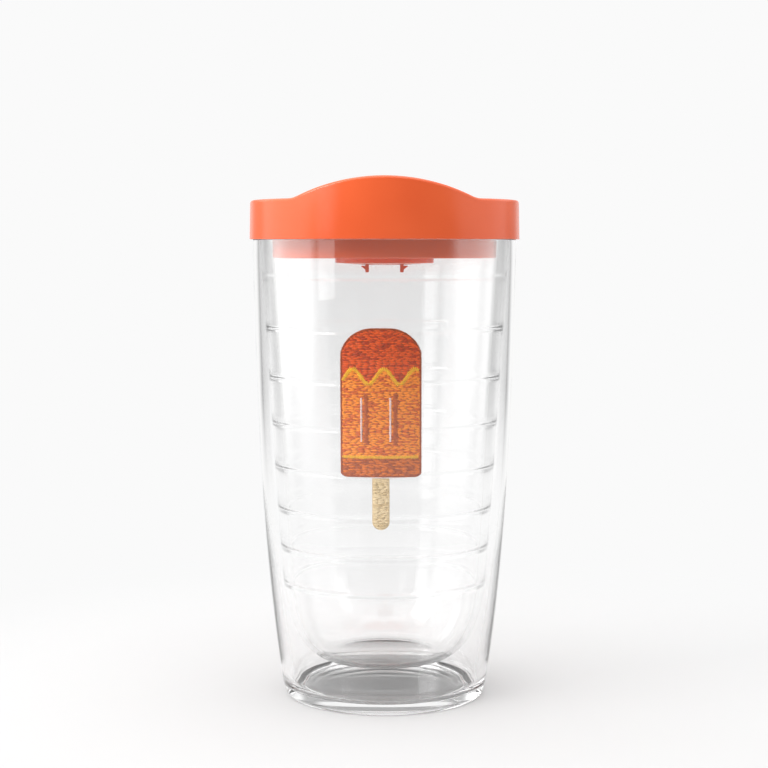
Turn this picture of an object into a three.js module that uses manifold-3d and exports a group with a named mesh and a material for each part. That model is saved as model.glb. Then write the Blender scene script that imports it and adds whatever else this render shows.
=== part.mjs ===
// A clear double-walled insulated tumbler with a press-on travel lid, in millimetres, +Z up.
// It stands on z = 0 with its axis on x = y = 0. The front, with the emblem, faces -Y.
import * as THREE from 'three';
import { mergeVertices } from 'three/addons/utils/BufferGeometryUtils.js';
import Module from 'manifold-3d';

const wasm = await Module();
wasm.setup();

// Driving dimensions
const segments = 48;             // sides of every turned piece
const gap = 0.3;                 // clearance between pieces that touch or slide

const cupHeight = 151.3;         // top edge of the outer cup
const cupRadius = 43.35;         // outer cup, straight part at the top
const straightAbove = 146;       // the outer wall starts to draw in below this height
const wallTaper = 3.4;           // how far it draws in along a straight line, at the base
const wallCurl = 6.5;            // how far the curve adds to that, at the base
const footRadius = 32.6;         // outer edge of the ring that it stands on
const footInnerRadius = 27.85;   // inner edge of that ring
const footRecess = 0.8;          // how far the underside is hollowed inside the ring
const floorTop = 3.2;            // top of the outer cup's floor
const heelRound = 0.7;           // the outer heel is cut back by this much
const thinWall = 1.85;           // outer wall, above thinAbove
const thickWall = 3.6;           // outer wall, below thickBelow, it grows evenly between the two
const thinAbove = 60;
const thickBelow = 8;

const innerTopRadius = 41.1;     // inner cup, outside, at the height of the outer cup's edge
const innerDraft = 0.0615;       // radius lost for each millimetre of depth, outside
const boreTopRadius = 37.5;      // inner cup, inside, at the same height
const boreDraft = 0.0575;        // radius lost for each millimetre of depth, inside
const innerBottom = 12;          // lowest part of the inner cup
const discRadius = 18;           // the disc under the inner cup
const discDome = 0.3;            // how far that disc is domed up in its middle
const floorWall = 1.9;           // inner cup's wall at the edge of the disc
const cornerTop = 36;            // height where the round bottom starts
const discPull = [25.5, 12];     // pull points of the curve from the disc to the side
const sidePull = [31.8, 20.5];
const flangeHeight = 1.2;        // the inner cup's flange lies on the outer cup's edge
const ringHeights = [139.3, 122.6, 106.4, 91.5, 77.1, 63.2, 50.4, 38.6];
const ringRise = 0.16;           // moulded rings stand proud of the bore by this much
const ringWidth = 2.4;

const lidRadius = 44.45;         // skirt at its lower edge
const lidTopRadius = 44.2;       // skirt at the shoulder
const skirtBottom = 151.3;
const shoulder = 164.0;          // flat top edge of the lid
const edgeRound = 1.0;           // rounding of that edge
const lipWall = 0.8;             // thin lip that laps over the cup's edge
const skirtWall = 2.0;
const dishRimRadius = 40.9;      // inner edge of the shoulder
const plugRadius = 36.95;        // ring that presses into the inner cup
const plugWall = 1.9;
const plugBottom = 145.4;
const deckThickness = 2.0;
const crownRise = 6.65;          // the drinking lip stands this much above the shoulder
const crownRadius = 67;          // arc of the drinking lip, seen from the front
const crownFootRadius = 8;       // hollow curve at each foot of that arc
const bossRadius = 16.3;         // round boss under the deck that the closure's legs catch on
const bossBottom = 143.1;
const bossEdge = 143.75;         // the boss is thinner at its edge
const bossFlatRadius = 7;

const openingLength = 18;        // drink opening in the deck
const openingWidth = 7;
const openingCentre = -27;
const ventRadius = 1.3;
const ventCentre = 27;
const cutDepth = 20;             // the tools that cut holes through the deck are this long

const slideTravel = 10;          // the closure slides this far forward to shut
const padHalfWidth = 11;
const padFront = -21.8;          // open position
const padBack = 16;
const padThickness = 2.2;
const padCorner = 4;
const thumbLength = 16;
const thumbWidth = 14;
const thumbRise = 4.4;
const thumbCentre = -3;
const grooveDepth = 0.3;         // fingertip grooves across the thumb rest
const groovePitch = 2.67;
const legInner = 5.2;            // inner face of each leg
const legOuter = 6.35;
const legHalfLength = 2.5;
const legCentre = 2;
const legTip = 140.55;
const barbReach = 7.7;           // the barb catches this far out under the boss
const barbSlope = 1.2;           // the barb grows out of the leg over this height
const barbEdge = 0.3;
const railHeight = 1.7;
const railWidth = 1.2;
const railLength = 44;
const railCentre = -6.9;
const sink = 0.5;                // pieces that are joined overlap by this much

const emblemTop = 123.9;
const emblemBottom = 77.2;
const emblemHalfWidth = 12.35;
const emblemShoulder = 9.8;      // radius of its top corners
const emblemCorner = 2;          // radius of its bottom corners
const emblemThickness = 0.7;
const stickBottom = 60.5;
const stickHalfWidth = 2.65;
const emblemTurn = -1.75;        // degrees round the axis from the exact front

const deckTop = plugBottom + deckThickness;
const padBottom = deckTop + gap;
const flangeTop = cupHeight + gap + flangeHeight;

function outerRadius(z) {
  const t = Math.max(0, (straightAbove - z) / straightAbove);
  return cupRadius - wallTaper * t - wallCurl * t ** 3;
}

function wallAt(z) {
  const share = THREE.MathUtils.clamp((thinAbove - z) / (thinAbove - thickBelow), 0, 1);
  return thinWall + (thickWall - thinWall) * share;
}

function innerRadius(z) {
  return innerTopRadius - innerDraft * (cupHeight - z);
}

function boreRadius(z) {
  return boreTopRadius - boreDraft * (cupHeight - z);
}

// Rise of the drinking lip above the shoulder: a wide arc with a hollow curve at each foot.
function crownLift(x) {
  const centre = crownRise - crownRadius;
  const footX = Math.sqrt((crownRadius + crownFootRadius) ** 2 - (crownFootRadius - centre) ** 2);
  const joinX = (footX * crownRadius) / (crownRadius + crownFootRadius);
  const d = Math.abs(x);
  if (d < joinX) return centre + Math.sqrt(crownRadius ** 2 - d ** 2);
  if (d < footX) return crownFootRadius - Math.sqrt(crownFootRadius ** 2 - (footX - d) ** 2);
  return 0;
}

function bendPath(start, startPull, endPull, end, count) {
  const ends = [start, startPull, endPull, end].map(([r, z]) => new THREE.Vector2(r, z));
  return new THREE.CubicBezierCurve(...ends).getPoints(count).map((p) => [p.x, p.y]);
}

// Vertices are shared and triangles that have no area at the axis are left out.
function closedGeometry(geometry) {
  geometry.deleteAttribute('normal');
  geometry.deleteAttribute('uv');
  const merged = mergeVertices(geometry, 1e-4);
  const index = merged.getIndex().array;
  const kept = [];
  for (let i = 0; i < index.length; i += 3) {
    const [a, b, c] = [index[i], index[i + 1], index[i + 2]];
    if (a !== b && b !== c && c !== a) kept.push(a, b, c);
  }
  merged.setIndex(kept);
  return merged;
}

// A profile runs anticlockwise in (radius, height), so that the faces point out.
// A third value, from 0 to 1, is the share of the drinking lip's rise that a point takes.
function turned(profile, sides = segments) {
  const points = profile.map(([r, z]) => new THREE.Vector2(r, z));
  const geometry = new THREE.LatheGeometry(points, sides).rotateX(Math.PI / 2);
  const position = geometry.getAttribute('position');
  for (let i = 0; i < position.count; i += 1) {
    const [x, y, z] = [position.getX(i), position.getY(i), position.getZ(i)];
    const share = profile[i % profile.length][2] ?? 0;
    if (share > 0 && y < 0) position.setZ(i, z + share * crownLift((x * lidTopRadius) / Math.hypot(x, y)));
  }
  return closedGeometry(geometry);
}

function extruded(shape, depth, curveSegments = 8) {
  const options = { depth, bevelEnabled: false, curveSegments };
  return closedGeometry(new THREE.ExtrudeGeometry(shape, options));
}

function block(xSize, ySize, zSize, x, y, z) {
  return closedGeometry(new THREE.BoxGeometry(xSize, ySize, zSize).translate(x, y, z));
}

function toSolid(geometry) {
  return new wasm.Manifold(new wasm.Mesh({
    numProp: 3,
    vertProperties: new Float32Array(geometry.getAttribute('position').array),
    triVerts: new Uint32Array(geometry.getIndex().array),
  }));
}

function toGeometry(solid) {
  const mesh = solid.getMesh();
  const geometry = new THREE.BufferGeometry();
  geometry.setAttribute('position', new THREE.BufferAttribute(new Float32Array(mesh.vertProperties), 3));
  geometry.setIndex(new THREE.BufferAttribute(new Uint32Array(mesh.triVerts), 1));
  return geometry;
}

function roundedRectangle(halfX, lowY, highY, corner) {
  const shape = new THREE.Shape();
  shape.moveTo(-halfX + corner, lowY);
  shape.lineTo(halfX - corner, lowY);
  shape.absarc(halfX - corner, lowY + corner, corner, -Math.PI / 2, 0);
  shape.lineTo(halfX, highY - corner);
  shape.absarc(halfX - corner, highY - corner, corner, 0, Math.PI / 2);
  shape.lineTo(-halfX + corner, highY);
  shape.absarc(-halfX + corner, highY - corner, corner, Math.PI / 2, Math.PI);
  shape.lineTo(-halfX, lowY + corner);
  shape.absarc(-halfX + corner, lowY + corner, corner, Math.PI, 1.5 * Math.PI);
  return shape;
}

function outerCup() {
  const outside = [];
  const inside = [];
  for (const z of [2.2, 8, 16, 26, 38, 50, 60, 76, 96, 118, 136, straightAbove, cupHeight]) {
    outside.push([outerRadius(z), z]);
    if (z >= thickBelow) inside.push([outerRadius(z) - wallAt(z), z]);
  }
  const [lowest] = inside;
  const floorEdge = [footInnerRadius - 1, floorTop];
  const floorPull = [lowest[0] - 1.2, floorTop];
  const wallPull = [lowest[0] - 0.3, floorTop + 1.2];
  const floorBend = bendPath(floorEdge, floorPull, wallPull, lowest, 3);
  return turned([
    [0, footRecess],
    [footInnerRadius - footRecess, footRecess],
    [footInnerRadius, 0],
    [footRadius, 0],
    [outerRadius(0), heelRound],
    ...outside,
    ...inside.reverse(),
    ...floorBend.slice(0, -1).reverse(),
    [0, floorTop],
  ]);
}

// A moulded ring is a low three-sided bead on the bore.
function ringBead(z) {
  return [
    [boreRadius(z + ringWidth / 2), z + ringWidth / 2],
    [boreRadius(z) - ringRise, z],
    [boreRadius(z - ringWidth / 2), z - ringWidth / 2],
  ];
}

// The bore's round bottom: the outside's moved inwards by a wall that grows evenly along it.
function boreCorner(corner) {
  const topWall = innerRadius(cornerTop) - boreRadius(cornerTop);
  return corner.map(([r, z], i) => {
    const before = corner[Math.max(0, i - 1)];
    const after = corner[Math.min(corner.length - 1, i + 1)];
    const along = new THREE.Vector2(after[0] - before[0], after[1] - before[1]).normalize();
    const wall = THREE.MathUtils.lerp(floorWall, topWall, i / (corner.length - 1));
    return [r - along.y * wall, z + along.x * wall];
  });
}

function innerCup() {
  const flangeBottom = cupHeight + gap;
  const flangeRadius = cupRadius - 0.05;
  const side = [innerRadius(cornerTop), cornerTop];
  const corner = bendPath([discRadius, innerBottom], discPull, sidePull, side, 8);
  return turned([
    [0, innerBottom + discDome],
    [discRadius / 2, innerBottom + discDome * 0.65],
    ...corner,
    [innerRadius(flangeBottom), flangeBottom],
    [flangeRadius, flangeBottom],
    [flangeRadius, flangeTop],
    [boreRadius(flangeTop), flangeTop],
    ...ringHeights.flatMap(ringBead),
    ...boreCorner(corner).reverse(),
    [0, innerBottom + floorWall],
  ]);
}

// The shell of the lid: plug, skirt, shoulder, dish and deck in one closed profile.
function lidShell() {
  const boreTop = plugRadius - plugWall;
  const hollowTop = shoulder - skirtWall;
  const dishWall = bendPath(
    [dishRimRadius, shoulder - 0.6],
    [dishRimRadius - 0.8, shoulder - 5],
    [boreTop + 1, deckTop + 7],
    [boreTop, deckTop + 1],
    6,
  ).map(([r, z]) => [r, z, ((z - deckTop) / (shoulder - deckTop)) ** 1.5]);
  return turned([
    [0, plugBottom],
    [plugRadius - 0.4, plugBottom],
    [plugRadius - 0.05, plugBottom + 0.6],
    [plugRadius, flangeTop + gap],
    [plugRadius + 1.7, shoulder - 6],
    [dishRimRadius, hollowTop],
    [lidTopRadius - skirtWall, hollowTop],
    [lidRadius - skirtWall, flangeTop + gap],
    [lidRadius - lipWall, flangeTop + gap],
    [lidRadius - lipWall, skirtBottom],
    [lidRadius, skirtBottom],
    [lidTopRadius, shoulder - edgeRound, 1],
    [lidTopRadius - 0.3, shoulder - 0.3, 1],
    [lidTopRadius - edgeRound, shoulder, 1],
    [dishRimRadius + 0.6, shoulder, 1],
    ...dishWall,
    [boreTop - 1, deckTop],
    [0, deckTop],
  ]);
}

function lid() {
  const boss = turned([
    [0, bossBottom],
    [bossFlatRadius, bossBottom],
    [bossRadius, bossEdge],
    [bossRadius, plugBottom + sink],
    [0, plugBottom + sink],
  ], 32);
  const halfOpening = openingWidth / 2;
  const openingShape = roundedRectangle(openingLength / 2, -halfOpening, halfOpening, halfOpening - 0.01);
  const opening = extruded(openingShape, cutDepth).translate(0, openingCentre, deckTop - cutDepth / 2);
  const ventTool = new THREE.CylinderGeometry(ventRadius, ventRadius, cutDepth, 12).rotateX(Math.PI / 2);
  const vent = closedGeometry(ventTool.translate(0, ventCentre, deckTop));
  const slotWidth = barbReach - legInner + 2 * gap;
  const slotX = legOuter + gap - slotWidth / 2;
  const slotLength = slideTravel + 2 * legHalfLength + 2 * gap;
  const slotY = legCentre - slideTravel / 2;
  const railX = padHalfWidth + gap + railWidth / 2;
  const railZ = deckTop + (railHeight - sink) / 2;
  let solid = toSolid(lidShell()).add(toSolid(boss));
  for (const side of [-1, 1]) {
    const rail = block(railWidth, railLength, railHeight + sink, side * railX, railCentre, railZ);
    solid = solid.add(toSolid(rail));
    const slot = block(slotWidth, slotLength, cutDepth, side * slotX, slotY, deckTop);
    solid = solid.subtract(toSolid(slot));
  }
  return toGeometry(solid.subtract(toSolid(opening)).subtract(toSolid(vent)));
}

// Side outline of the thumb rest: an arch with fingertip grooves across it.
function thumbOutline() {
  const shape = new THREE.Shape();
  const half = thumbLength / 2;
  const steps = 24;
  shape.moveTo(-half, 0);
  for (let i = 1; i < steps; i += 1) {
    const y = -half + (thumbLength * i) / steps;
    const arch = thumbRise * Math.sqrt(1 - (y / half) ** 2);
    const groove = Math.abs(y) < half * 0.6 ? grooveDepth * Math.cos((2 * Math.PI * y) / groovePitch) : 0;
    shape.lineTo(y, arch + groove);
  }
  shape.lineTo(half, 0);
  return shape;
}

function legOutline() {
  const barbTop = bossBottom - gap;
  const shape = new THREE.Shape();
  shape.moveTo(legInner, legTip);
  shape.lineTo(legOuter, legTip);
  shape.lineTo(legOuter, barbTop - barbSlope);
  shape.lineTo(barbReach, barbTop - barbEdge);
  shape.lineTo(barbReach, barbTop);
  shape.lineTo(legOuter, barbTop);
  shape.lineTo(legOuter, padBottom + sink);
  shape.lineTo(legInner, padBottom + sink);
  return shape;
}

function slideClosure() {
  const pad = extruded(roundedRectangle(padHalfWidth, padFront, padBack, padCorner), padThickness, 5);
  pad.translate(0, 0, padBottom);
  const thumb = extruded(thumbOutline(), thumbWidth);
  thumb.rotateX(Math.PI / 2).rotateZ(Math.PI / 2);
  thumb.translate(-thumbWidth / 2, thumbCentre, padBottom + padThickness - sink);
  let solid = toSolid(pad).add(toSolid(thumb));
  for (const turn of [0, Math.PI]) {
    const leg = extruded(legOutline(), 2 * legHalfLength).rotateX(Math.PI / 2);
    leg.translate(0, legHalfLength, 0).rotateZ(turn).translate(0, legCentre, 0);
    solid = solid.add(toSolid(leg));
  }
  return toGeometry(solid);
}

// A thin patch bent round the inner cup, between two curves given as heights for each x.
function bentPatch(halfWidth, lowAt, highAt, columns, rows) {
  const places = [];
  const place = (i, j, outward) => {
    const x = -halfWidth * Math.cos((Math.PI * i) / columns);
    const z = lowAt(x) + ((highAt(x) - lowAt(x)) * j) / rows;
    const back = innerRadius(z) + gap;
    const radius = back + (outward ? emblemThickness : 0);
    const angle = Math.asin(x / back) + THREE.MathUtils.degToRad(emblemTurn);
    places.push(radius * Math.sin(angle), -radius * Math.cos(angle), z);
  };
  for (const outward of [true, false]) {
    for (let i = 0; i <= columns; i += 1) {
      for (let j = 0; j <= rows; j += 1) place(i, j, outward);
    }
  }
  const front = (i, j) => i * (rows + 1) + j;
  const back = (i, j) => front(i, j) + (columns + 1) * (rows + 1);
  const faces = [];
  for (let i = 0; i < columns; i += 1) {
    for (let j = 0; j < rows; j += 1) {
      faces.push(front(i, j), front(i + 1, j), front(i + 1, j + 1));
      faces.push(front(i, j), front(i + 1, j + 1), front(i, j + 1));
      faces.push(back(i, j), back(i + 1, j + 1), back(i + 1, j));
      faces.push(back(i, j), back(i, j + 1), back(i + 1, j + 1));
    }
  }
  for (const [p, q] of patchEdges(columns, rows)) {
    faces.push(front(...q), front(...p), back(...p));
    faces.push(front(...q), back(...p), back(...q));
  }
  const geometry = new THREE.BufferGeometry();
  geometry.setAttribute('position', new THREE.Float32BufferAttribute(places, 3));
  geometry.setIndex(faces);
  return geometry;
}

// The patch's rim as steps from one grid point to the next, anticlockwise from the front.
function patchEdges(columns, rows) {
  const edges = [];
  for (let i = 0; i < columns; i += 1) {
    edges.push([[i, 0], [i + 1, 0]]);
    edges.push([[i + 1, rows], [i, rows]]);
  }
  for (let j = 0; j < rows; j += 1) {
    edges.push([[columns, j], [columns, j + 1]]);
    edges.push([[0, j + 1], [0, j]]);
  }
  return edges;
}

function cornerDrop(x, halfWidth, corner) {
  const past = Math.max(0, Math.abs(x) - (halfWidth - corner));
  return corner - Math.sqrt(Math.max(0, corner ** 2 - past ** 2));
}

function emblemBody() {
  const lowAt = (x) => emblemBottom + cornerDrop(x, emblemHalfWidth, emblemCorner);
  const highAt = (x) => emblemTop - cornerDrop(x, emblemHalfWidth, emblemShoulder);
  return bentPatch(emblemHalfWidth, lowAt, highAt, 14, 3);
}

function emblemStick() {
  const lowAt = (x) => stickBottom + cornerDrop(x, stickHalfWidth, stickHalfWidth - 0.05);
  return bentPatch(stickHalfWidth, lowAt, () => emblemBottom - gap, 8, 2);
}

const clearPlastic = () => new THREE.MeshStandardMaterial({
  color: '#f4f6f7', roughness: 0.05, metalness: 0, transparent: true, opacity: 0.25,
});
const lidPlastic = () => new THREE.MeshStandardMaterial({ color: '#f2663a', roughness: 0.42, metalness: 0 });
const popThread = () => new THREE.MeshStandardMaterial({ color: '#e08b4b', roughness: 0.8, metalness: 0 });
const stickThread = () => new THREE.MeshStandardMaterial({ color: '#cdb487', roughness: 0.8, metalness: 0 });

const pieces = [
  ['outer_cup', outerCup(), clearPlastic()],
  ['inner_cup', innerCup(), clearPlastic()],
  ['lid', lid(), lidPlastic()],
  ['slide_closure', slideClosure(), lidPlastic()],
  ['emblem_body', emblemBody(), popThread()],
  ['emblem_stick', emblemStick(), stickThread()],
];

const tumbler = new THREE.Group();
for (const [name, geometry, material] of pieces) {
  const mesh = new THREE.Mesh(geometry, material);
  mesh.name = name;
  tumbler.add(mesh);
}

export default tumbler;
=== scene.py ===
import math
import random

import bmesh
import bpy
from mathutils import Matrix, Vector


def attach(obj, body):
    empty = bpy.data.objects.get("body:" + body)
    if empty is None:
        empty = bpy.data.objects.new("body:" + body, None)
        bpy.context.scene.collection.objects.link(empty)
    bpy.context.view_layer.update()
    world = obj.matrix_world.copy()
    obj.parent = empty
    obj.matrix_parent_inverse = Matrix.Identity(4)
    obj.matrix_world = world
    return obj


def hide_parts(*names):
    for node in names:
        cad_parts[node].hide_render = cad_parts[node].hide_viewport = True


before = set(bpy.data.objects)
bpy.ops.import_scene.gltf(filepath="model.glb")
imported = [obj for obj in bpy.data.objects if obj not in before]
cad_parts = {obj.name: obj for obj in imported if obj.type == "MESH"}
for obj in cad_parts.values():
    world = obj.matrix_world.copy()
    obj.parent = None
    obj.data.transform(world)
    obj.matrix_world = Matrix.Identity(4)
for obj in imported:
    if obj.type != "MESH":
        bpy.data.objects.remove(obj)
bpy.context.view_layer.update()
random.seed(16)

mm = 0.001
turnSteps = 256  # sides of every turned piece, enough to look round in the glassy walls
gap = 0.3        # between pieces that touch or slide
sink = 0.5       # pieces that are joined overlap by this much
hair = 0.01      # a corner this much under half the width keeps a short straight side
rampEnds = (0.35, 0.65)  # slow noise goes from the darker to the lighter colour between these
print("frame: loaded", sorted(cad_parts))


# Small helpers for meshes and materials

def linear(hexColour):
    channels = [int(hexColour[i:i + 2], 16) / 255 for i in (1, 3, 5)]
    return [c / 12.92 if c <= 0.04045 else ((c + 0.055) / 1.055) ** 2.4 for c in channels] + [1]


def smoothStep(low, high, value):
    t = min(1, max(0, (value - low) / (high - low)))
    return t * t * (3 - 2 * t)


def addNode(tree, kind, inputs, **settings):
    node = tree.nodes.new(kind)
    for name, value in settings.items():
        setattr(node, name, value)
    for name, value in inputs.items():
        if isinstance(value, bpy.types.NodeSocket):
            tree.links.new(value, node.inputs[name])
        else:
            node.inputs[name].default_value = value
    return node


def newMaterial(name):
    material = bpy.data.materials.new(name)
    material.use_nodes = True
    material.node_tree.nodes.clear()
    return material, material.node_tree


def meshObject(name, verts, faces, materials, sharpAngle=35):
    mesh = bpy.data.meshes.new(name)
    mesh.from_pydata([Vector(v) * mm for v in verts], [], faces)
    mesh.update()
    piece = bpy.data.objects.new(name, mesh)
    bpy.context.scene.collection.objects.link(piece)
    for material in materials:
        mesh.materials.append(material)
    smooth(piece, sharpAngle)
    return piece


def smooth(piece, sharpAngle=35):
    piece.data.polygons.foreach_set("use_smooth", [True] * len(piece.data.polygons))
    piece.data.set_sharp_from_angle(angle=math.radians(sharpAngle))


def faceOutwards(piece):
    work = bmesh.new()
    work.from_mesh(piece.data)
    bmesh.ops.recalc_face_normals(work, faces=work.faces)
    work.to_mesh(piece.data)
    work.free()


# Corners of a profile become arcs. A corner is (radius, height) or (radius, height, fillet).
def filleted(corners, arcSteps=6):
    most = 0.48  # a fillet takes up less than half of the side next to it
    points = []
    for i, (r, z, *fillet) in enumerate(corners):
        here = Vector((r, z))
        if not fillet or i in (0, len(corners) - 1):
            points.append((r, z))
            continue
        before = (Vector(corners[i - 1][:2]) - here)
        after = (Vector(corners[i + 1][:2]) - here)
        half = before.angle(after) / 2
        reach = min(fillet[0] / math.tan(half), most * before.length, most * after.length)
        radius = reach * math.tan(half)
        start = here + before.normalized() * reach
        end = here + after.normalized() * reach
        centre = here + (before.normalized() + after.normalized()).normalized() * radius / math.sin(half)
        for k in range(arcSteps + 1):
            spoke = (start - centre).slerp(end - centre, k / arcSteps)
            points.append(tuple(centre + spoke.normalized() * radius))
    return points


def bend(start, startPull, endPull, end, count=24):
    points = []
    for i in range(count + 1):
        t = i / count
        weights = ((1 - t) ** 3, 3 * t * (1 - t) ** 2, 3 * t * t * (1 - t), t ** 3)
        points.append(tuple(
            sum(w * p[k] for w, p in zip(weights, (start, startPull, endPull, end))) for k in (0, 1)
        ))
    return points


# A turned piece. The profile runs anticlockwise in (radius, height) from the axis back to the axis.
def turned(name, profile, materials, rise=None):
    verts, rings = [], []
    for r, z in profile:
        ring = []
        for k in range(1 if r < 1e-6 else turnSteps):
            angle = 2 * math.pi * k / turnSteps
            x, y = r * math.cos(angle), r * math.sin(angle)
            ring.append(len(verts))
            verts.append((x, y, z + (rise(r, z, x, y) if rise else 0)))
        rings.append(ring)
    faces = []
    for low, high in zip(rings, rings[1:]):
        for k in range(turnSteps):
            n = (k + 1) % turnSteps
            corners = [low[k % len(low)], low[n % len(low)], high[n % len(high)], high[k % len(high)]]
            faces.append(list(dict.fromkeys(corners)))
    return meshObject(name, verts, faces, materials)


# A closed solid through a row of sections that all have the same number of points.
def lofted(name, sections, materials):
    count = len(sections[0])
    verts = [point for section in sections for point in section]
    faces = [list(range(count))[::-1], list(range(len(verts) - count, len(verts)))]
    for s in range(len(sections) - 1):
        for k in range(count):
            n = (k + 1) % count
            faces.append([s * count + k, s * count + n, (s + 1) * count + n, (s + 1) * count + k])
    piece = meshObject(name, verts, faces, materials)
    faceOutwards(piece)
    smooth(piece)
    return piece


def combine(piece, tool, how):
    joined = piece.modifiers.new("join", "BOOLEAN")
    joined.operation = how
    joined.solver = "EXACT"
    joined.object = tool
    depsgraph = bpy.context.evaluated_depsgraph_get()
    mesh = bpy.data.meshes.new_from_object(piece.evaluated_get(depsgraph))
    piece.modifiers.clear()
    old = piece.data
    piece.data = mesh
    bpy.data.meshes.remove(old)
    bpy.data.objects.remove(tool)
    smooth(piece)


def roundedOutline(halfX, halfY, corner, cornerSteps=8):
    points = []
    for centreX, centreY, first in ((1, 1, 0), (-1, 1, 90), (-1, -1, 180), (1, -1, 270)):
        for k in range(cornerSteps + 1):
            angle = math.radians(first + 90 * k / cornerSteps)
            x = centreX * (halfX - corner) + corner * math.cos(angle)
            y = centreY * (halfY - corner) + corner * math.sin(angle)
            points.append((x, y))
    return points


# Insets that round an edge of a lofted piece: (how far in, how far along) for each section.
def edgeSteps(radius, steps=4):
    angles = [math.pi / 2 * k / steps for k in range(steps + 1)]
    return [(radius * (1 - math.sin(a)), radius * (1 - math.cos(a))) for a in angles]


# Materials

# Copolyester, injection moulded in a polished tool: glass clear, with faint flow waves that make the
# lines seen through it wander a little. Lamps shine straight through it onto the paper, the emblem and
# the lid's plug, so that its shadow stays pale and what is inside is lit.
clearPlastic = {
    "tint": "#FFFFFF",
    "ior": 1.54,
    "polish": 0.0,
    "flowWidth": 14.0,        # mm from one flow wave to the next
    "flowHeight": 0.012,      # mm
    "shadowTint": "#FEFEFE",  # what an upright wall lets through of a lamp's light
    "flatTint": "#C4C4C4",    # what a level floor lets through of it, down to the paper
    "flatFrom": 0.3,          # upright part of a normal from which a face takes on the floors' tint
}


def mouldedCopolyester():
    s = clearPlastic
    material, tree = newMaterial("copolyester_polished_mould")
    place = addNode(tree, "ShaderNodeTexCoord", {})
    flow = addNode(tree, "ShaderNodeTexNoise", {
        "Vector": place.outputs["Object"], "Scale": 1 / (s["flowWidth"] * mm), "Detail": 1.0,
    })
    waves = addNode(tree, "ShaderNodeBump", {
        "Height": flow.outputs["Fac"], "Strength": 1.0, "Distance": s["flowHeight"] * mm,
    })
    plastic = addNode(tree, "ShaderNodeBsdfPrincipled", {
        "Base Color": linear(s["tint"]), "IOR": s["ior"], "Roughness": s["polish"],
        "Transmission Weight": 1.0, "Normal": waves.outputs["Normal"],
    })
    shape = addNode(tree, "ShaderNodeNewGeometry", {})
    facing = addNode(tree, "ShaderNodeSeparateXYZ", {"Vector": shape.outputs["Normal"]})
    level = addNode(tree, "ShaderNodeMath", {0: facing.outputs["Z"]}, operation="ABSOLUTE")
    clearness = addNode(tree, "ShaderNodeMapRange", {
        "Value": level.outputs["Value"], "From Min": s["flatFrom"], "From Max": 1.0,
        "To Min": linear(s["shadowTint"])[0], "To Max": linear(s["flatTint"])[0],
    })
    lampsPass = addNode(tree, "ShaderNodeBsdfTransparent", {"Color": clearness.outputs["Result"]})
    ray = addNode(tree, "ShaderNodeLightPath", {})
    lighting = addNode(tree, "ShaderNodeMath", {
        0: ray.outputs["Is Shadow Ray"], 1: ray.outputs["Is Diffuse Ray"],
    }, operation="MAXIMUM")
    surface = addNode(tree, "ShaderNodeMixShader", {
        "Fac": lighting.outputs["Value"], 1: plastic.outputs["BSDF"], 2: lampsPass.outputs["BSDF"],
    })
    addNode(tree, "ShaderNodeOutputMaterial", {"Surface": surface.outputs["Shader"]})
    return material


# Polypropylene, moulded in a finely etched tool: a soft satin that spreads each lamp into a wide band.
lidPlastic = {
    "colour": "#EE6434",
    "deepColour": "#E85E2F",
    "ior": 1.49,
    "satin": (0.20, 0.25),
    "grainSize": 0.45,     # mm, drawn coarser than the real 0.1 mm so that it shows close up
    "grainHeight": 0.006,  # mm
    "shadeSize": 30.0,     # mm, slow change of colour in the moulding
}


def mouldedPolypropylene():
    s = lidPlastic
    material, tree = newMaterial("polypropylene_satin_mould")
    place = addNode(tree, "ShaderNodeTexCoord", {})
    grain = addNode(tree, "ShaderNodeTexNoise", {
        "Vector": place.outputs["Object"], "Scale": 1 / (s["grainSize"] * mm), "Detail": 2.0,
    })
    cloud = addNode(tree, "ShaderNodeTexNoise", {
        "Vector": place.outputs["Object"], "Scale": 1 / (s["shadeSize"] * mm), "Detail": 2.0,
    })
    colour = addNode(tree, "ShaderNodeValToRGB", {"Fac": cloud.outputs["Fac"]})
    colour.color_ramp.elements[0].position = rampEnds[0]
    colour.color_ramp.elements[0].color = linear(s["deepColour"])
    colour.color_ramp.elements[1].position = rampEnds[1]
    colour.color_ramp.elements[1].color = linear(s["colour"])
    satin = addNode(tree, "ShaderNodeMapRange", {
        "Value": cloud.outputs["Fac"], "To Min": s["satin"][0], "To Max": s["satin"][1],
    })
    etched = addNode(tree, "ShaderNodeBump", {
        "Height": grain.outputs["Fac"], "Strength": 1.0, "Distance": s["grainHeight"] * mm,
    })
    plastic = addNode(tree, "ShaderNodeBsdfPrincipled", {
        "Base Color": colour.outputs["Color"], "Roughness": satin.outputs["Result"], "IOR": s["ior"],
        "Normal": etched.outputs["Normal"],
    })
    addNode(tree, "ShaderNodeOutputMaterial", {"Surface": plastic.outputs["BSDF"]})
    return material


# Polyester embroidery thread, twisted: each strand has a soft silky glint along it.
# The Deep colours are darker copies of four threads. Filling stitches that take them are painted shade;
# amberDeep is also the grooves' own thread.
threadColours = {
    "peach": ("#FF9612", "#F8880C"),
    "peachDeep": ("#E66C0A", "#D86006"),
    "rind": ("#EE5C02", "#DE4E00"),
    "rindDeep": ("#C64200", "#B43800"),
    "yellow": ("#F6BA08", "#E4A404"),
    "amber": ("#E47400", "#D66800"),
    "amberDeep": ("#BE5600", "#AC4A00"),
    "highlight": ("#F2DCD8", "#E4C8C2"),
    "edge": ("#AC4C0C", "#983E08"),
    "beige": ("#F0D8AE", "#E4CA9C"),
    "beigeDeep": ("#DEC494", "#D2B688"),
    # dark cloth under the stitches: painted shade in the gaps between them
    "backing": ("#B4561A", "#A04A14"),
}
threadSurface = {
    "twist": 1.78,        # mm from one turn to the next, drawn coarser than the real 0.45 mm to show
    "twistHeight": 0.05,  # mm
    "dyeSize": 1.4,       # mm, uneven dyeing
    "roughness": 0.5,
    "glint": 0.3,
    "ior": 1.54,
}
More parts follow.
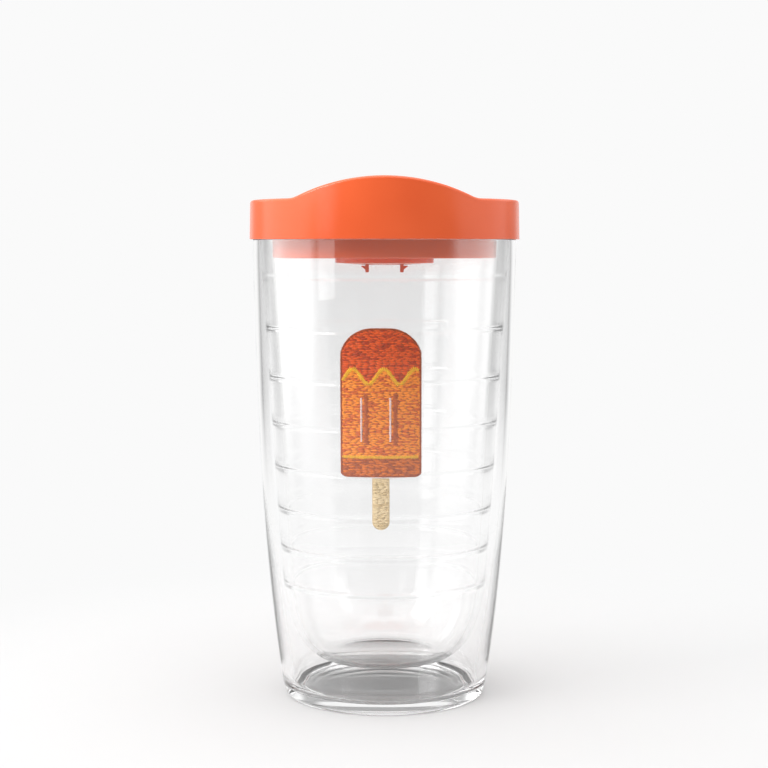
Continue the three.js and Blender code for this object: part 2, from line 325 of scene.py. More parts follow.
bandUnit = 2 * math.pi / 10  # diagonal bands of a wave texture repeat after this much of its scale


def twistedPolyester(name):
    s = threadSurface
    light, dark = threadColours[name]
    material, tree = newMaterial("polyester_thread_" + name)
    place = addNode(tree, "ShaderNodeTexCoord", {})
    strands = addNode(tree, "ShaderNodeTexWave", {
        "Vector": place.outputs["Object"], "Scale": bandUnit / (s["twist"] * mm), "Distortion": 2.0,
        "Detail": 1.0,
    }, bands_direction="DIAGONAL")
    uneven = addNode(tree, "ShaderNodeTexNoise", {
        "Vector": place.outputs["Object"], "Scale": 1 / (s["dyeSize"] * mm), "Detail": 3.0,
    })
    colour = addNode(tree, "ShaderNodeValToRGB", {"Fac": uneven.outputs["Fac"]})
    colour.color_ramp.elements[0].position = rampEnds[0]
    colour.color_ramp.elements[0].color = linear(dark)
    colour.color_ramp.elements[1].position = rampEnds[1]
    colour.color_ramp.elements[1].color = linear(light)
    twist = addNode(tree, "ShaderNodeBump", {
        "Height": strands.outputs["Fac"], "Strength": 0.6, "Distance": s["twistHeight"] * mm,
    })
    thread = addNode(tree, "ShaderNodeBsdfPrincipled", {
        "Base Color": colour.outputs["Color"], "Roughness": s["roughness"], "IOR": s["ior"],
        "Specular IOR Level": s["glint"], "Normal": twist.outputs["Normal"],
    })
    addNode(tree, "ShaderNodeOutputMaterial", {"Surface": thread.outputs["BSDF"]})
    return material


# The two clear cups

outer = {
    "height": 151.3,
    "radius": 43.35,
    "straightAbove": 146.0,
    "taper": 3.4,         # drawn in along a straight line at the base
    "curl": 6.5,          # drawn in further by the curve
    "foot": 32.6,
    "footInner": 27.85,
    "recess": 0.8,
    "heel": (0.1, 0.9),   # how far in and how high the rounded heel has its corner
    "heelRound": 1.6,
    "footRound": 0.5,
    "rimRound": 0.3,
    "heelTop": 4.0,       # the wall's rows start here
    "rowsEnd": 0.5,       # and end this far under the edge
    "rows": 90,
    "floor": 3.2,
    "floorInset": 1.0,    # the floor is level as far as this inside the standing ring
    "floorPulls": (0.3, 1.2),  # how the wall bends into the floor, inside
    "thinWall": 1.85,
    "thickWall": 3.6,
    "thinAbove": 60.0,
    "thickBelow": 8.0,
    "ease": 15.0,         # above and below thinAbove, the wall starts to thicken gently
}
inner = {
    "top": 41.1,          # outside radius at the outer cup's edge
    "draft": 0.0615,
    "bore": 37.5,
    "boreDraft": 0.0575,
    "bottom": 12.0,
    "disc": 18.0,         # the flat underside in the middle of the bowl
    "floorWall": 1.9,     # the wall at the edge of the disc, it grows to the bore's at the corner's top
    "cornerTop": 36.0,
    "cornerPulls": ((25.5, 12.0), (31.8, 20.5)),
    "flange": 1.2,
    "flangeInset": 0.05,
    "flangeRounds": (0.2, 0.3, 0.4),
    "boreStart": 0.8,     # the bore's rows start this far below the flange's top
    "boreStep": 2.5,
    "boreRows": 46,
    "sideStart": 40,      # the outside's rows
    "sideStep": 6,
    "discRows": 12,
    "rings": (139.3, 122.6, 106.4, 91.5, 77.1, 63.2, 50.4, 38.6),
    "ringRise": 0.16,
    "topRingRise": 0.08,  # the top ring is lower, so that the orange legs above it don't show in it
    "ringWidth": 2.4,
    "ringSteps": 16,
}
flangeTop = outer["height"] + gap + inner["flange"]


def outerRadius(z):
    t = max(0, (outer["straightAbove"] - z) / outer["straightAbove"])
    return outer["radius"] - outer["taper"] * t - outer["curl"] * t ** 3


# The wall thickens evenly towards the base, after a gentle start that leaves no line in it.
def wallAt(z):
    s = outer
    depth = max(0, s["thinAbove"] + s["ease"] - z)
    grown = depth ** 2 / (4 * s["ease"]) if depth < 2 * s["ease"] else depth - s["ease"]
    share = min(1, grown / (s["thinAbove"] - s["thickBelow"]))
    return s["thinWall"] + (s["thickWall"] - s["thinWall"]) * share


def innerRadius(z):
    return inner["top"] - inner["draft"] * (outer["height"] - z)


def boreRadius(z):
    return inner["bore"] - inner["boreDraft"] * (outer["height"] - z)


def outerCup(material):
    s = outer
    span = s["height"] - s["rowsEnd"] - s["heelTop"]
    heights = [s["heelTop"] + span * k / s["rows"] for k in range(s["rows"] + 1)]
    outside = [(outerRadius(z), z) for z in heights]
    inside = [(outerRadius(z) - wallAt(z), z) for z in reversed(heights) if z > s["thickBelow"]]
    lowest = inside[-1]
    lean, reach = s["floorPulls"]
    floorEdge = (s["footInner"] - s["floorInset"], s["floor"])
    corner = bend(lowest, (lowest[0] - lean, s["floor"] + reach), (lowest[0] - reach, s["floor"]),
                  floorEdge, 12)
    profile = filleted([
        (0, s["recess"]),
        (s["footInner"] - s["recess"], s["recess"], s["rimRound"]),
        (s["footInner"], 0, s["rimRound"]),
        (s["foot"], 0, s["footRound"]),
        (outerRadius(0) - s["heel"][0], s["heel"][1], s["heelRound"]),
        *outside,
        (outerRadius(s["height"]), s["height"], s["rimRound"]),
        (outerRadius(s["height"]) - s["thinWall"], s["height"], s["rimRound"]),
        *inside,
        *corner[1:],
        (0, s["floor"]),
    ])
    return turned("outer_cup_clear", profile, [material])


# A moulded ring swells softly from the bore towards the axis.
def ringSwell(z):
    ring = min(inner["rings"], key=lambda height: abs(z - height))
    rise = inner["topRingRise"] if ring == inner["rings"][0] else inner["ringRise"]
    t = min(1, abs(z - ring) / (inner["ringWidth"] / 2))
    return rise * math.cos(math.pi / 2 * t) ** 2


# The bore's corner: the outside's corner moved inwards by a wall that grows along it.
def boreCorner(corner):
    topWall = innerRadius(inner["cornerTop"]) - boreRadius(inner["cornerTop"])
    points = []
    for i, (r, z) in enumerate(corner):
        before, after = corner[max(0, i - 1)], corner[min(len(corner) - 1, i + 1)]
        alongR, alongZ = after[0] - before[0], after[1] - before[1]
        wall = inner["floorWall"] + (topWall - inner["floorWall"]) * i / (len(corner) - 1)
        reach = wall / math.hypot(alongR, alongZ)
        points.append((r - alongZ * reach, z + alongR * reach))
    return points


def innerCup(material):
    s = inner
    corner = bend((s["disc"], s["bottom"]), *s["cornerPulls"], (innerRadius(s["cornerTop"]), s["cornerTop"]))
    boreFloor = boreCorner(corner)
    # Narrow rows shade the disc flat as far as its edge.
    disc = [(s["disc"] * k / s["discRows"], s["bottom"]) for k in range(s["discRows"])]
    flangeRadius = outer["radius"] - s["flangeInset"]
    boreTop = flangeTop - s["boreStart"]
    heights = {round(boreTop - s["boreStep"] * k, 3) for k in range(s["boreRows"])}
    half = s["ringSteps"] // 2
    for ring in s["rings"]:
        heights |= {round(ring + s["ringWidth"] * k / s["ringSteps"], 3) for k in range(-half, half + 1)}
    boreHeights = [z for z in sorted(heights, reverse=True) if z > boreFloor[-1][1]]
    bore = [(boreRadius(z) - ringSwell(z), z) for z in boreHeights]
    profile = filleted([
        *disc,
        *corner,
        *[(innerRadius(z), z) for z in range(s["sideStart"], int(outer["height"]), s["sideStep"])],
        (innerRadius(outer["height"] + gap), outer["height"] + gap),
        (flangeRadius, outer["height"] + gap, s["flangeRounds"][0]),
        (flangeRadius, flangeTop, s["flangeRounds"][1]),
        (boreRadius(flangeTop), flangeTop, s["flangeRounds"][2]),
        *bore,
        *reversed(boreFloor),
        (0, s["bottom"] + s["floorWall"]),
    ])
    return turned("inner_cup_clear", profile, [material])


clear = mouldedCopolyester()
outerPiece = outerCup(clear)
innerPiece = innerCup(clear)
for piece, node in ((outerPiece, "outer_cup"), (innerPiece, "inner_cup")):
    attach(piece, "tumbler")
    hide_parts(node)
print("cups: turned")


# The travel lid

lid = {
    "radius": 44.45,
    "topRadius": 44.2,
    "skirt": 151.3,
    "shoulder": 164.0,
    "edge": 1.0,
    "lip": 0.8,
    "wall": 2.0,
    "dish": 40.9,
    "plug": 36.95,
    "plugWall": 1.9,
    "plugBottom": 145.4,
    "deck": 2.0,
    "crownRise": 6.65,
    "crownArc": 67.0,
    "crownFoot": 8.0,
    "crownFade": 1.5,     # power by which the lip's rise dies out down the dish
    "boss": 16.3,
    "bossBottom": 143.1,
    "bossEdge": 143.75,
    "bossFlat": 7.0,
    "openingHalf": (9.0, 3.5),
    "openingY": -27.0,
    "vent": 1.3,
    "ventY": 27.0,
    "railHalf": (0.6, 22.0),
    "railRise": 1.7,
    "railBack": 1.0,      # the rails' middle lies this far behind the middle of the closure's run
}
closure = {
    "travel": 10.0,
    "half": 11.0,
    "front": -21.8,
    "back": 16.0,
    "thick": 2.2,
    "corner": 4.0,
    "thumbHalf": (7.0, 8.0),
    "thumbRise": 4.4,
    "thumbY": -3.0,
    "thumbSink": 0.6,     # the thumb rest reaches this far into the pad
    "thumbEdge": 1.0,
    "grooveDepth": 0.3,
    "groovePitch": 2.67,
    "grooveEnds": (0.5, 0.65),  # shares of the half length over which the grooves die out
    "legs": (5.2, 6.35),
    "legHalf": 2.5,
    "legY": 2.0,
    "legSink": 1.0,       # a leg reaches this far up into the pad
    "legTip": 140.55,
    "barb": 7.7,
    "barbSlope": 1.2,     # the barb grows out of the leg over this height
    "barbEdge": 0.25,
}
deckTop = lid["plugBottom"] + lid["deck"]
padBottom = deckTop + gap


# Rise of the drinking lip: a wide arc with a hollow curve at each foot.
def crownLift(x):
    centre = lid["crownRise"] - lid["crownArc"]
    reach = lid["crownArc"] + lid["crownFoot"]
    footX = math.sqrt(reach ** 2 - (lid["crownFoot"] - centre) ** 2)
    d = abs(x)
    if d < footX * lid["crownArc"] / reach:
        return centre + math.sqrt(lid["crownArc"] ** 2 - d * d)
    if d < footX:
        return lid["crownFoot"] - math.sqrt(lid["crownFoot"] ** 2 - (footX - d) ** 2)
    return 0


def lipRise(r, z, x, y):
    if y >= 0 or r < 1:
        return 0
    topSlack, dishSlack, boreSlack = 0.02, 0.05, 0.3  # let the points that lie on an edge count too
    onTop = z > lid["shoulder"] - lid["edge"] - topSlack
    onBore = r < lid["plug"] - lid["plugWall"] + boreSlack
    onDish = r < lid["dish"] + dishSlack and (onBore or aboveHollow(r, z))
    if not (onTop or onDish):
        return 0
    share = 1 if onTop else max(0, (z - deckTop) / (lid["shoulder"] - deckTop)) ** lid["crownFade"]
    return share * crownLift(x * lid["topRadius"] / r)


# True for the dish's wall, false for the hollow between that wall and the skirt.
def aboveHollow(r, z):
    low = (lid["plug"], flangeTop + gap)
    high = (lid["dish"], lid["shoulder"] - lid["wall"])
    t = (r - low[0]) / (high[0] - low[0])
    return z > low[1] + (high[1] - low[1]) * t + 0.8


def lidShell(material):
    s = lid
    bore = s["plug"] - s["plugWall"]
    hollowTop = s["shoulder"] - s["wall"]
    dishWall = bend((s["dish"], s["shoulder"] - 0.6), (s["dish"] - 0.8, s["shoulder"] - 5),
                    (bore + 1, deckTop + 7), (bore, deckTop + 1))
    topEdge = filleted([
        (s["radius"], s["skirt"]),
        (s["topRadius"], s["shoulder"], s["edge"]),
        (s["dish"] + 0.1, s["shoulder"], 0.6),
        dishWall[1],
    ])
    profile = filleted([
        (0, s["plugBottom"]),
        (s["plug"] - 0.1, s["plugBottom"], 0.5),
        (s["plug"], flangeTop + gap, 2.0),
        (s["plug"] + 1.7, s["shoulder"] - 6, 3.0),
        (s["dish"], hollowTop, 0.8),
        (s["topRadius"] - s["wall"], hollowTop, 0.8),
        (s["radius"] - s["wall"], flangeTop + gap),
        (s["radius"] - s["lip"], flangeTop + gap),
        (s["radius"] - s["lip"], s["skirt"], 0.15),
        (s["radius"], s["skirt"], 0.2),
        *topEdge[1:],
        *dishWall[2:],
        (bore - 0.1, deckTop, 0.8),
        (0, deckTop),
    ])
    return turned("lid_orange", profile, [material], lipRise)


# A tool that cuts a hole with rounded rims through a plate between two heights. It stands out past both.
def holeTool(half, corner, centre, low, high, rim):
    overrun = 3
    sections = [(low - overrun, rim)] + [(low + along, inset) for inset, along in edgeSteps(rim)]
    sections += [(high - along, inset) for inset, along in reversed(edgeSteps(rim))]
    sections += [(high + overrun, rim)]
    layers = []
    for z, grow in sections:
        outline = roundedOutline(half[0] + grow, half[1] + grow, corner + grow)
        layers.append([(x + centre[0], y + centre[1], z) for x, y in outline])
    return lofted("hole_tool", layers, [])


def roundedBar(name, half, corner, centre, low, high, edge, materials):
    layers = []
    for inset, along in edgeSteps(edge):
        layers.append((low + along, inset))
    for inset, along in reversed(edgeSteps(edge)):
        layers.append((high - along, inset))
    sections = []
    for z, inset in layers:
        outline = roundedOutline(half[0] - inset, half[1] - inset, corner - inset)
        sections.append([(x + centre[0], y + centre[1], z) for x, y in outline])
    return lofted(name, sections, materials)


def travelLid(material):
    s = lid
    piece = lidShell(material)
    boss = turned("boss_tool", filleted([
        (0, s["bossBottom"]),
        (s["bossFlat"], s["bossBottom"], 2.0),
        (s["boss"], s["bossEdge"], 0.3),
        (s["boss"], s["plugBottom"] + sink),
        (0, s["plugBottom"] + sink),
    ]), [material])
    combine(piece, boss, "UNION")
    barX = closure["half"] + gap + s["railHalf"][0]
    barY = (closure["front"] - closure["travel"] + closure["back"]) / 2 + s["railBack"]
    slotInner = closure["legs"][1] + gap - (closure["barb"] - closure["legs"][0] + 2 * gap)
    slotHalfX = (closure["legs"][1] + gap - slotInner) / 2
    slotHalfY = closure["travel"] / 2 + closure["legHalf"] + gap
    slotY = closure["legY"] - closure["travel"] / 2
    for side in (-1, 1):
        rail = roundedBar("rail_tool", s["railHalf"], s["railHalf"][0] - hair, (side * barX, barY),
                          deckTop - sink, deckTop + s["railRise"], 0.4, [material])
        combine(piece, rail, "UNION")
        slot = holeTool((slotHalfX, slotHalfY), 0.5, (side * (slotInner + slotHalfX), slotY),
                        s["bossBottom"] - 0.2, deckTop, rim=0.25)
        combine(piece, slot, "DIFFERENCE")
    opening = holeTool(s["openingHalf"], s["openingHalf"][1] - hair, (0, s["openingY"]), s["plugBottom"],
                       deckTop, rim=0.6)
    combine(piece, opening, "DIFFERENCE")
    vent = holeTool((s["vent"], s["vent"]), s["vent"] - hair, (0, s["ventY"]), s["plugBottom"], deckTop,
                    rim=0.3)
    combine(piece, vent, "DIFFERENCE")
    return piece


# Side outline of the thumb rest: an arch with fingertip grooves, as (y, z).
def thumbOutline(inset):
    halfY = closure["thumbHalf"][1] - inset
    rise = closure["thumbRise"] - inset
    steps = 48
    points = []
    for i in range(steps + 1):
        y = halfY * (2 * i / steps - 1)
        arch = rise * math.sqrt(max(0, 1 - (y / halfY) ** 2))
        groove = closure["grooveDepth"] * math.cos(2 * math.pi * y / closure["groovePitch"])
        groove *= 1 - smoothStep(*closure["grooveEnds"], abs(y) / halfY)
        points.append((y, arch + groove))
    return points + [(halfY, -closure["thumbSink"]), (-halfY, -closure["thumbSink"])]


def slideClosure(material):
    s = closure
    padTop = padBottom + s["thick"]
    halfY = (s["back"] - s["front"]) / 2
    piece = roundedBar("slide_closure_orange", (s["half"], halfY), s["corner"], (0, s["front"] + halfY),
                       padBottom, padTop, 0.6, [material])
    rounding = edgeSteps(s["thumbEdge"])
    sections = [(-s["thumbHalf"][0] + along, inset) for inset, along in rounding]
    sections += [(s["thumbHalf"][0] - along, inset) for inset, along in reversed(rounding)]
    thumb = lofted("thumb_tool", [
        [(x, y + s["thumbY"], z + padTop) for y, z in thumbOutline(inset)] for x, inset in sections
    ], [material])
    combine(piece, thumb, "UNION")
    for side in (-1, 1):
        combine(piece, snapLeg(side, material), "UNION")
    return piece


# A snap leg: a flat spring that ends in a barb under the boss.
def snapLeg(side, material):
    s = closure
    barbTop = lid["bossBottom"] - gap
    legTop = padBottom + s["legSink"]
    outline = filleted([
        (s["legs"][0], legTop),
        (s["legs"][0], s["legTip"], 0.25),
        (s["legs"][1], s["legTip"], 0.25),
        (s["legs"][1], barbTop - s["barbSlope"], 0.6),
        (s["barb"], barbTop - s["barbEdge"], 0.15),
        (s["barb"], barbTop, 0.1),
        (s["legs"][1], barbTop, 0.1),
        (s["legs"][1], legTop),
    ], 4)
    ends = (s["legY"] - s["legHalf"], s["legY"] + s["legHalf"])
    return lofted("leg_tool", [[(side * x, y, z) for x, z in outline] for y in ends], [material])


orange = mouldedPolypropylene()
lidPiece = travelLid(orange)
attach(lidPiece, "tumbler")
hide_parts("lid")
closurePiece = slideClosure(orange)
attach(closurePiece, "closure")
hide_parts("slide_closure")
print("lid: turned, cut and joined")


# The stitched emblem between the walls: a plain ice pop in rows of thread on a cloth backing

emblem = {
    "top": 123.9,
    "bottom": 77.2,
    "half": 12.35,
    "shoulder": 9.8,
    "corner": 2.0,
    "stickBottom": 60.5,
    "stickHalf": 2.65,
    "turn": -1.75,        # degrees from the exact front
    "backing": 0.28,      # thickness of the cloth
    "rowPitch": 0.52,     # drawn coarser than the real 0.4 mm so that the rows show
    "stitch": 2.0,        # length of a filling stitch
    "shortest": 0.9,      # no filling stitch breaks off sooner
    "overlap": 0.1,       # stitches run past their ends by this much
    "drift": 0.14,        # they also lean up or down at random,
    "unevenLift": 0.08,   # and stand up more or less
    "margin": 0.2,        # the filling stays this far inside the outline
    "popInset": 0.3,
    "stickInset": 0.1,
    "threadWidth": 0.5,
    "threadRise": 0.26,
    "threadTip": 0.25,    # thickness at its ends, as a share
    "dip": 0.12,          # the ends sink this far
    "deepShare": 0.35,    # share of the filling stitches that lie in shade
    "satinPitch": 0.46,
    "satinThread": 0.44,
    "satinLift": 0.16,
    "satinSpread": (0.8, 1.2),
    "satinWidths": {"glaze": 1.5, "band": 1.2, "groove": 1.9, "shine": 0.7, "edge": 0.7},
    "satinReach": 0.93,   # share of the half width that the glaze's and the band's lines cross
    "glazeDrop": 15.0,    # the darker glaze ends this far under the top
    "glazeWave": (2.4, 9.4, 0.9),  # height, length and start of its wavy edge
    "band": 6.4,          # height of the darker band at the foot
    "grooves": (-4.4, 4.4),
    "grooveEnds": (10.5, 5.5),     # above the foot, and under the glaze
    "shine": (1.5, 1.0, 0.2),      # how far left of a groove, how much shorter and how high it lies
    "edgeLine": (0.35, 0.12),      # how far inside the outline and how high it lies
}
threadNames = list(threadColours)


def emblemBack(z):
    return innerRadius(z) + gap


def onCup(x, z, lift):
    back = emblemBack(z)
    angle = math.asin(x / back) + math.radians(emblem["turn"])
    return ((back + lift) * math.sin(angle), -(back + lift) * math.cos(angle), z)


def cornerDrop(x, half, corner):
    past = max(0, abs(x) - (half - corner))
    return corner - math.sqrt(max(0, corner ** 2 - past ** 2))


def popLow(x):
    return emblem["bottom"] + cornerDrop(x, emblem["half"], emblem["corner"])


def popHigh(x):
    return emblem["top"] - cornerDrop(x, emblem["half"], emblem["shoulder"])


def stickLow(x):
    return emblem["stickBottom"] + cornerDrop(x, emblem["stickHalf"], emblem["stickHalf"] - 0.05)


def stickHigh(x):
    return emblem["bottom"] - gap


# The cloth backing: a thin sheet bent round the cup, with a closed rim. Its dark colour is painted shade in
# the gaps between the stitches.
def clothSheet(verts, faces, slots, half, low, high, colour, columns=24, rows=24):
    first = len(verts)
    slot = threadNames.index(colour)
    for lift in (emblem["backing"], 0):
        for i in range(columns + 1):
            x = -half * math.cos(math.pi * i / columns)
            for j in range(rows + 1):
                z = low(x) + (high(x) - low(x)) * j / rows
                verts.append(onCup(x, z, lift))
    layer = (columns + 1) * (rows + 1)

    def spot(i, j, side):
        return first + side * layer + i * (rows + 1) + j

    rim = [(i, 0) for i in range(columns)] + [(columns, j) for j in range(rows)]
    rim += [(i, rows) for i in range(columns, 0, -1)] + [(0, j) for j in range(rows, 0, -1)]
    for i in range(columns):
        for j in range(rows):
            corners = [(i, j), (i + 1, j), (i + 1, j + 1), (i, j + 1)]
            faces.append([spot(a, b, 0) for a, b in corners])
            faces.append([spot(a, b, 1) for a, b in reversed(corners)])
            slots += [slot, slot]
    for p, q in zip(rim, rim[1:] + rim[:1]):
        faces.append([spot(*q, 0), spot(*p, 0), spot(*p, 1), spot(*q, 1)])
        slots.append(slot)


# One stitch: a strand that arches over the cloth and dips into it at both ends.
def addStitch(verts, faces, slots, start, end, lift, width, colour):
    s = emblem
    rings, sides = 5, 6
    first = len(verts)
    dx, dz = end[0] - start[0], end[1] - start[1]
    length = math.hypot(dx, dz)
    for i in range(rings + 1):
        u = i / rings
        swell = s["threadTip"] + (1 - s["threadTip"]) * math.sin(math.pi * u) ** 0.5
        for k in range(sides):
            angle = 2 * math.pi * k / sides
            across = 0.5 * width * swell * math.cos(angle)
            rise = s["backing"] + lift - s["dip"] + s["dip"] * swell
            rise += 0.5 * s["threadRise"] * (1 + math.sin(angle)) * swell
            verts.append(onCup(start[0] + dx * u - dz / length * across,
                               start[1] + dz * u + dx / length * across, rise))
    for i in range(rings):
        for k in range(sides):
            n = (k + 1) % sides
            faces.append([first + i * sides + k, first + i * sides + n,
                          first + (i + 1) * sides + n, first + (i + 1) * sides + k])
    faces.append([first + k for k in range(sides)][::-1])
    faces.append([first + rings * sides + k for k in range(sides)])
    slots += [threadNames.index(colour)] * (rings * sides + 2)


def glazeLine(x):
    height, length, start = emblem["glazeWave"]
    return emblem["top"] - emblem["glazeDrop"] + height * math.sin(2 * math.pi * x / length + start)


def threadAt(x, z):
    if z > glazeLine(x):
        return "rind"
    return "amber" if z < emblem["bottom"] + emblem["band"] else "peach"


# Rows of filling stitches inside an outline, broken where the colour changes.
def fillRows(store, half, low, high, colourAt, bottom, top):
    s = emblem
    step = 0.2  # stitches start and end on a grid this fine
    rowCount = int((top - bottom) / s["rowPitch"])
    for row in range(rowCount + 1):
        z = bottom + s["rowPitch"] * (row + 0.5)
        inside = [x * step for x in range(int(-half / step), int(half / step) + 1)
                  if low(x * step) + s["margin"] < z < high(x * step) - s["margin"]]
        if len(inside) < 4:
            continue
        start = inside[0]
        offset = random.uniform(0, s["stitch"])
        for x in inside[1:]:
            edge = x >= inside[-1] - 1e-6
            changes = colourAt(x, z) != colourAt(start, z)
            brick = (x - inside[0] + offset) % s["stitch"] < step
            if edge or changes or (brick and x - start > s["shortest"]):
                drift = random.uniform(-s["drift"], s["drift"])
                colour = colourAt((start + x) / 2, z)
                # Some filling stitches take the darker copy of their thread: painted shade.
                inShade = random.random() < s["deepShare"]
                colour += "Deep" if inShade else ""
                addStitch(*store, (start - s["overlap"], z + drift), (x + s["overlap"], z - drift),
                          random.uniform(0, s["unevenLift"]), s["threadWidth"], colour)
                start = x


# Satin stitches laid side by side across a path of (x, z) points.
def satinLine(store, path, width, colour, lift=emblem["satinLift"]):
    s = emblem
    carry = 0
    for (x0, z0), (x1, z1) in zip(path, path[1:]):
        length = math.hypot(x1 - x0, z1 - z0)
        while carry < length:
            t = carry / length
            x, z = x0 + (x1 - x0) * t, z0 + (z1 - z0) * t
            half = width / 2 * random.uniform(*s["satinSpread"])
            sideX, sideZ = -(z1 - z0) / length * half, (x1 - x0) / length * half
            addStitch(*store, (x - sideX, z - sideZ), (x + sideX, z + sideZ), lift, s["satinThread"], colour)
            carry += s["satinPitch"]
        carry -= length


def outlinePath(half, low, high, inset, columns=60):
    xs = [-(half - inset) * math.cos(math.pi * i / columns) for i in range(columns + 1)]
    under = [(x, low(x) + inset) for x in xs]
    over = [(x, high(x) - inset) for x in reversed(xs)]
    return under + over + [under[0]]


def emblemPiece(name, half, low, high, cloth, draw):
    verts, faces, slots = [], [], []
    clothSheet(verts, faces, slots, half, low, high, cloth)
    draw((verts, faces, slots))
    piece = meshObject(name, verts, faces, [threads[n] for n in threadNames], 60)
    piece.data.polygons.foreach_set("material_index", slots)
    return piece


def drawPop(store):
    s = emblem
    widths = s["satinWidths"]
    fillRows(store, s["half"] - s["popInset"], popLow, popHigh, threadAt, s["bottom"], s["top"])
    steps = 60
    xs = [s["half"] * s["satinReach"] * (2 * i / steps - 1) for i in range(steps + 1)]
    satinLine(store, [(x, glazeLine(x)) for x in xs], widths["glaze"], "yellow")
    satinLine(store, [(x, s["bottom"] + s["band"]) for x in xs], widths["band"], "yellow")
    aside, shorter, shineLift = s["shine"]
    low, high = s["bottom"] + s["grooveEnds"][0], s["top"] - s["glazeDrop"] - s["grooveEnds"][1]
    for x in s["grooves"]:
        satinLine(store, [(x, low), (x, high)], widths["groove"], "amberDeep")
        satinLine(store, [(x - aside, low + shorter), (x - aside, high - shorter)], widths["shine"],
                  "highlight", shineLift)
    edgeInset, edgeLift = s["edgeLine"]
    satinLine(store, outlinePath(s["half"], popLow, popHigh, edgeInset), widths["edge"], "edge", edgeLift)


def drawStick(store):
    s = emblem
    fillRows(store, s["stickHalf"] - s["stickInset"], stickLow, stickHigh, lambda x, z: "beige",
             s["stickBottom"], stickHigh(0))


threads = {name: twistedPolyester(name) for name in threadNames}
# Both cloths (backing, beigeDeep) are dark: painted shade in the gaps between the stitches.
popPiece = emblemPiece("emblem_pop_stitched", emblem["half"], popLow, popHigh, "backing", drawPop)
stickPiece = emblemPiece("emblem_stick_stitched", emblem["stickHalf"], stickLow, stickHigh, "beigeDeep",
                         drawStick)
for piece, node, slotName in ((popPiece, "emblem_body", "pop_thread"),
                              (stickPiece, "emblem_stick", "stick_thread")):
    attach(piece, "tumbler")
    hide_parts(node)
print("emblem:", len(popPiece.data.polygons) + len(stickPiece.data.polygons), "faces of thread")


# Floor, light and camera

studio = {
    "white": 0.956,          # brightness of the backdrop
    "room": 0.26,            # the darker room behind the camera
    "leftScreen": 1.6,       # the bright screens at both sides
    "rightScreen": 1.1,
    "between": 0.42,         # the gaps between the screens and the white card behind
    "flatten": 3.0,          # card and gaps are this much lower than they are wide
    "screensMeet": 0.3,      # left to right part of a direction by which one screen has become the other
    # The next three are front to back parts of a direction, from -1 in front to 1 behind.
    "roomEnds": (-0.5, -0.34),
    "screenEnds": (0.5, 0.6),
    "cardStarts": (0.82, 0.9),
    "floorRadius": 12.0,     # metres
    "floorSides": 96,
    "floorColour": "#C6C6C6",
    "floorDrop": 0.0001,     # metres under the foot, so that light leaves the foot before it meets the floor
    "fade": (0.09, 0.24),    # metres over which the floor melts into the backdrop
    "mirrorFade": (0.25, 1.1),  # the same, for the floor as the clear walls mirror it
}


def grey(level):
    return [level] * 3 + [1]


# The room as the clear walls see it, by direction: dim in front, a bright screen at each side, and a
# white card behind, with dim gaps beside the card that give the walls their grey edges.
def roomLevel(tree, direction):
    s = studio
    flatter = addNode(tree, "ShaderNodeVectorMath", {
        0: direction, 1: (1, 1, s["flatten"]),
    }, operation="MULTIPLY")
    unit = addNode(tree, "ShaderNodeVectorMath", {0: flatter.outputs["Vector"]}, operation="NORMALIZE")
    axes = addNode(tree, "ShaderNodeSeparateXYZ", {"Vector": unit.outputs["Vector"]})
    level = addNode(tree, "ShaderNodeMapRange", {
        "Value": axes.outputs["X"], "From Min": -s["screensMeet"], "From Max": s["screensMeet"],
        "To Min": s["leftScreen"], "To Max": s["rightScreen"],
    }).outputs["Result"]
    for start, end, low, high in ((*s["roomEnds"], s["room"], level), (*s["screenEnds"], None, s["between"]),
                                  (*s["cardStarts"], None, s["white"])):
        level = addNode(tree, "ShaderNodeMapRange", {
            "Value": axes.outputs["Y"], "From Min": start, "From Max": end,
            "To Min": level if low is None else low, "To Max": high,
        }, interpolation_type="SMOOTHSTEP").outputs["Result"]
    return level


def studioFloor():
    s = studio
    mesh = bpy.data.meshes.new("studio_floor")
    work = bmesh.new()
    bmesh.ops.create_circle(work, cap_ends=True, radius=s["floorRadius"], segments=s["floorSides"])
    work.to_mesh(mesh)
    work.free()
    floor = bpy.data.objects.new("studio_floor", mesh)
    floor.location.z = -s["floorDrop"]
    bpy.context.scene.collection.objects.link(floor)
    material, tree = newMaterial("studio_paper")
    place = addNode(tree, "ShaderNodeTexCoord", {})
    distance = addNode(tree, "ShaderNodeVectorMath", {0: place.outputs["Object"]}, operation="LENGTH")
    far = addNode(tree, "ShaderNodeMapRange", {
        "Value": distance.outputs["Value"], "From Min": s["fade"][0], "From Max": s["fade"][1],
    }, interpolation_type="SMOOTHSTEP")
    paper = addNode(tree, "ShaderNodeBsdfDiffuse", {"Color": linear(s["floorColour"])})
    ray = addNode(tree, "ShaderNodeLightPath", {})
    mirrored = addNode(tree, "ShaderNodeMapRange", {
        "Value": distance.outputs["Value"], "From Min": s["mirrorFade"][0], "From Max": s["mirrorFade"][1],
    }, interpolation_type="SMOOTHSTEP")
    share = addNode(tree, "ShaderNodeMix", {
        "Factor": ray.outputs["Is Camera Ray"], "A": mirrored.outputs["Result"], "B": 0.0,
    })
    level = addNode(tree, "ShaderNodeMix", {
        "Factor": share.outputs["Result"], "A": s["white"],
        "B": roomLevel(tree, place.outputs["Object"]),
    })
    glow = addNode(tree, "ShaderNodeEmission", {"Color": level.outputs["Result"]})
    mix = addNode(tree, "ShaderNodeMixShader", {
        "Fac": far.outputs["Result"], 1: paper.outputs["BSDF"], 2: glow.outputs["Emission"],
    })
    addNode(tree, "ShaderNodeOutputMaterial", {"Surface": mix.outputs["Shader"]})
    mesh.materials.append(material)


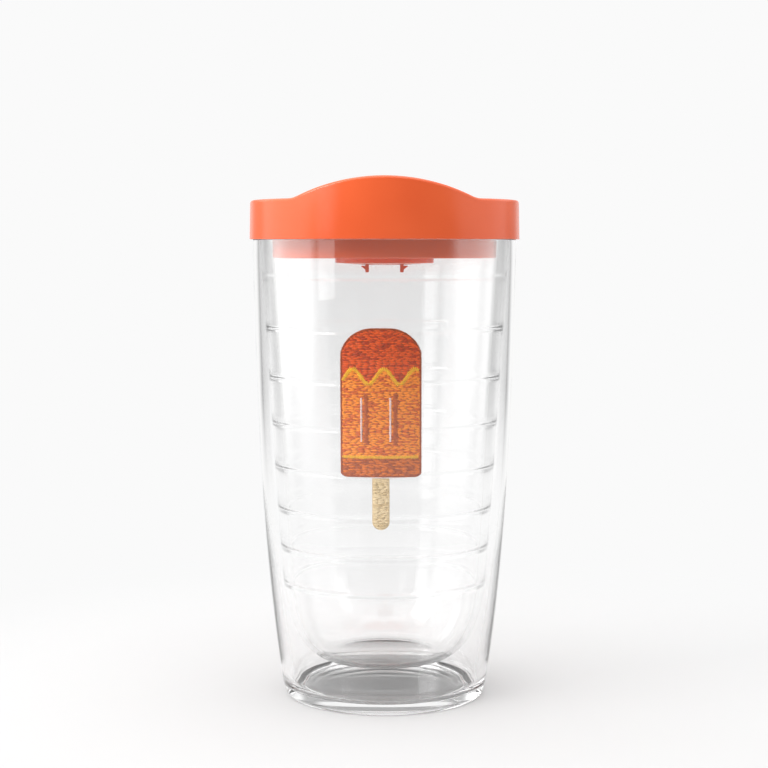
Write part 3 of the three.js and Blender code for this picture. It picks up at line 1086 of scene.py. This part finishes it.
def studioWorld():
    s = studio
    world = bpy.data.worlds.new("studio")
    world.use_nodes = True
    tree = world.node_tree
    tree.nodes.clear()
    place = addNode(tree, "ShaderNodeTexCoord", {})
    room = addNode(tree, "ShaderNodeBackground", {"Color": roomLevel(tree, place.outputs["Generated"])})
    backdrop = addNode(tree, "ShaderNodeBackground", {"Color": grey(s["white"])})
    ray = addNode(tree, "ShaderNodeLightPath", {})
    mix = addNode(tree, "ShaderNodeMixShader", {
        "Fac": ray.outputs["Is Camera Ray"], 1: room.outputs["Background"], 2: backdrop.outputs["Background"],
    })
    addNode(tree, "ShaderNodeOutputWorld", {"Surface": mix.outputs["Shader"]})
    bpy.context.scene.world = world


# Soft lamps. Two hang high, where the upright walls don't mirror them to the camera. The weak strip is
# lower and gives the lid its soft highlight.
lampAim = (0, 0, 0.08)
softboxes = {
    "key_left": {"at": (-1.43, -0.58, 1.0), "size": (0.9, 0.9), "power": 16.0},
    "strip_left": {"at": (-1.25, -1.01, 0.4), "size": (0.45, 0.8), "power": 1.7},
    "overhead": {"at": (0.0, -0.1, 1.4), "size": (1.4, 1.4), "power": 8.0},
}


def addSoftboxes():
    for name, s in softboxes.items():
        light = bpy.data.lights.new(name, "AREA")
        light.shape = "RECTANGLE"
        light.size, light.size_y = s["size"]
        light.energy = s["power"]
        lamp = bpy.data.objects.new(name, light)
        lamp.location = s["at"]
        aim = Vector(lampAim) - lamp.location
        lamp.rotation_euler = aim.to_track_quat("-Z", "Y").to_euler()
        bpy.context.scene.collection.objects.link(lamp)


# Light may bounce often enough to find its way out of the nested clear walls. Caustics are off, because
# the lamps already shine through the walls and would light the paper twice.
lightPaths = {
    "max_bounces": 24, "glossy_bounces": 16, "transmission_bounces": 24,
    "caustics_reflective": False, "caustics_refractive": False,
}

view = {
    "lens": 80.0,
    "sensor": 36.0,
    "at": (-0.00017, -0.566, 0.1495),
    "pitch": 4.66,           # degrees below level
}


def addCamera():
    camera = bpy.data.cameras.new("photo_view")
    camera.lens = view["lens"]
    camera.sensor_width = view["sensor"]
    holder = bpy.data.objects.new("photo_view", camera)
    holder.location = view["at"]
    holder.rotation_euler = (math.radians(90 - view["pitch"]), 0, 0)
    bpy.context.scene.collection.objects.link(holder)
    bpy.context.scene.camera = holder


studioFloor()
studioWorld()
addSoftboxes()
addCamera()
for name, value in lightPaths.items():
    setattr(bpy.context.scene.cycles, name, value)
bpy.context.scene.view_settings.view_transform = "Standard"
print("studio: floor, softboxes and camera")
